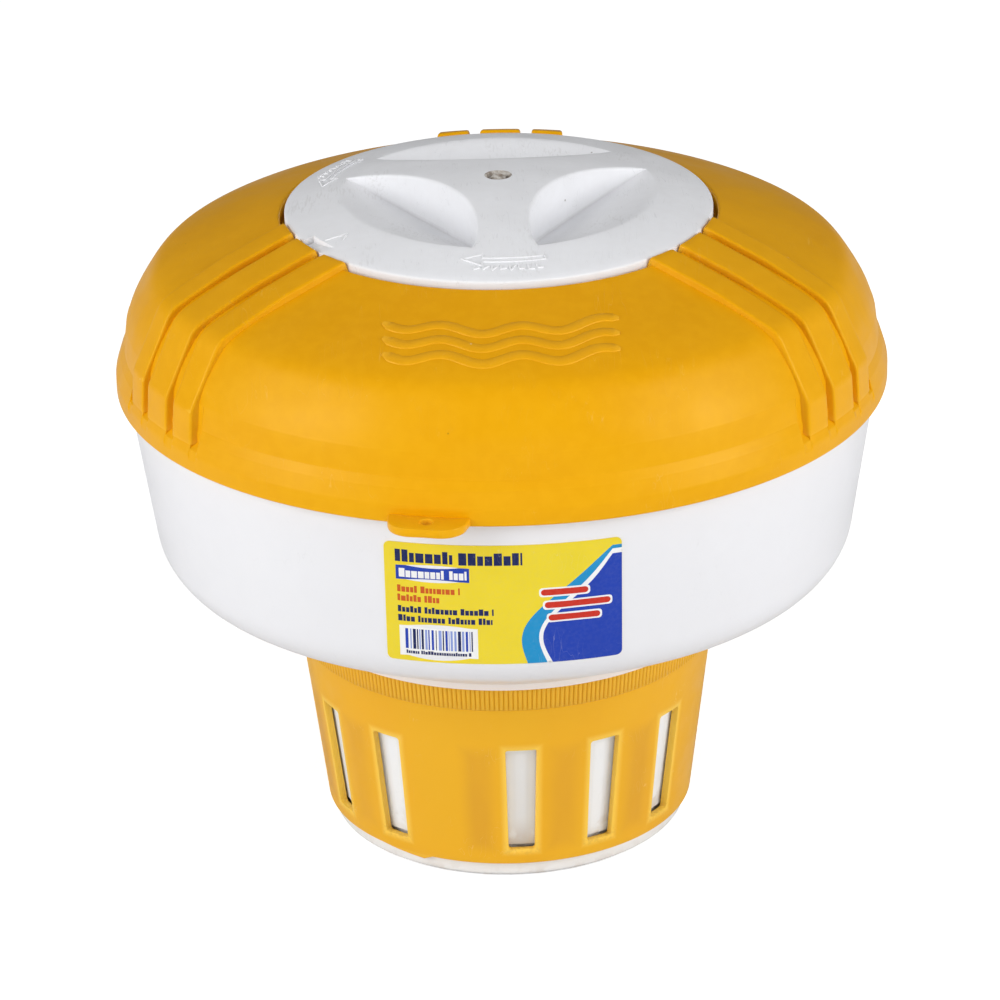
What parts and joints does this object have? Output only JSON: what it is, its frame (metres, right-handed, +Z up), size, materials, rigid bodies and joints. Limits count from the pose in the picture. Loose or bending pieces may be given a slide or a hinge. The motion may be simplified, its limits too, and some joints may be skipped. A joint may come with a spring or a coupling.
{
  "type": "floating chlorine dispenser",
  "caption": "Round pool float with a bayonet lid, a tablet canister hanging below it, and a sleeve that turns to open the canister's water slots.",
  "frame": {"origin": "centre of the flat underside of the base", "axes": "+Z up along the float's axis, -Y towards the front label"},
  "size_m": [0.25, 0.2588, 0.2232],
  "materials": {
    "cover_yellow": "satin moulded ABS",
    "shell_white": "satin moulded ABS",
    "seal_rubber": "matt",
    "canister_white": "moulded",
    "base_white": "satin moulded",
    "sleeve_yellow": "slightly translucent moulded polypropylene",
    "gasket_silicone": "matt",
    "lid_white": "moulded, scuffed",
    "label_print": "printed film"
  },
  "bodies": {
    "float": {"top_cover": "cover_yellow", "lower_shell": "shell_white", "rim_seal": "seal_rubber", "throat_seal": "seal_rubber", "neck_seal": "seal_rubber", "tablet_canister": "canister_white", "base_cap": "base_white", "front_label": "label_print"},
    "lid_seal": {"lid_gasket": "gasket_silicone"},
    "lid": {"twist_lid": "lid_white"},
    "sleeve": {"regulator_sleeve": "sleeve_yellow"}
  },
  "joints": [
    {"name": "lid_lift", "type": "slide", "parent": "float", "child": "lid_seal", "axis": [0, 0, 1], "range_m": [0, 0.08]},
    {"name": "lid_turn", "type": "hinge", "parent": "lid_seal", "child": "lid", "pos_m": [0, 0, 0.21], "axis": [0, 0, 1], "range_deg": [-32, 0]},
    {"name": "regulator_turn", "type": "hinge", "parent": "float", "child": "sleeve", "pos_m": [0, 0, 0.04], "axis": [0, 0, 1], "range_deg": [-12.35, 0]}
  ]
}
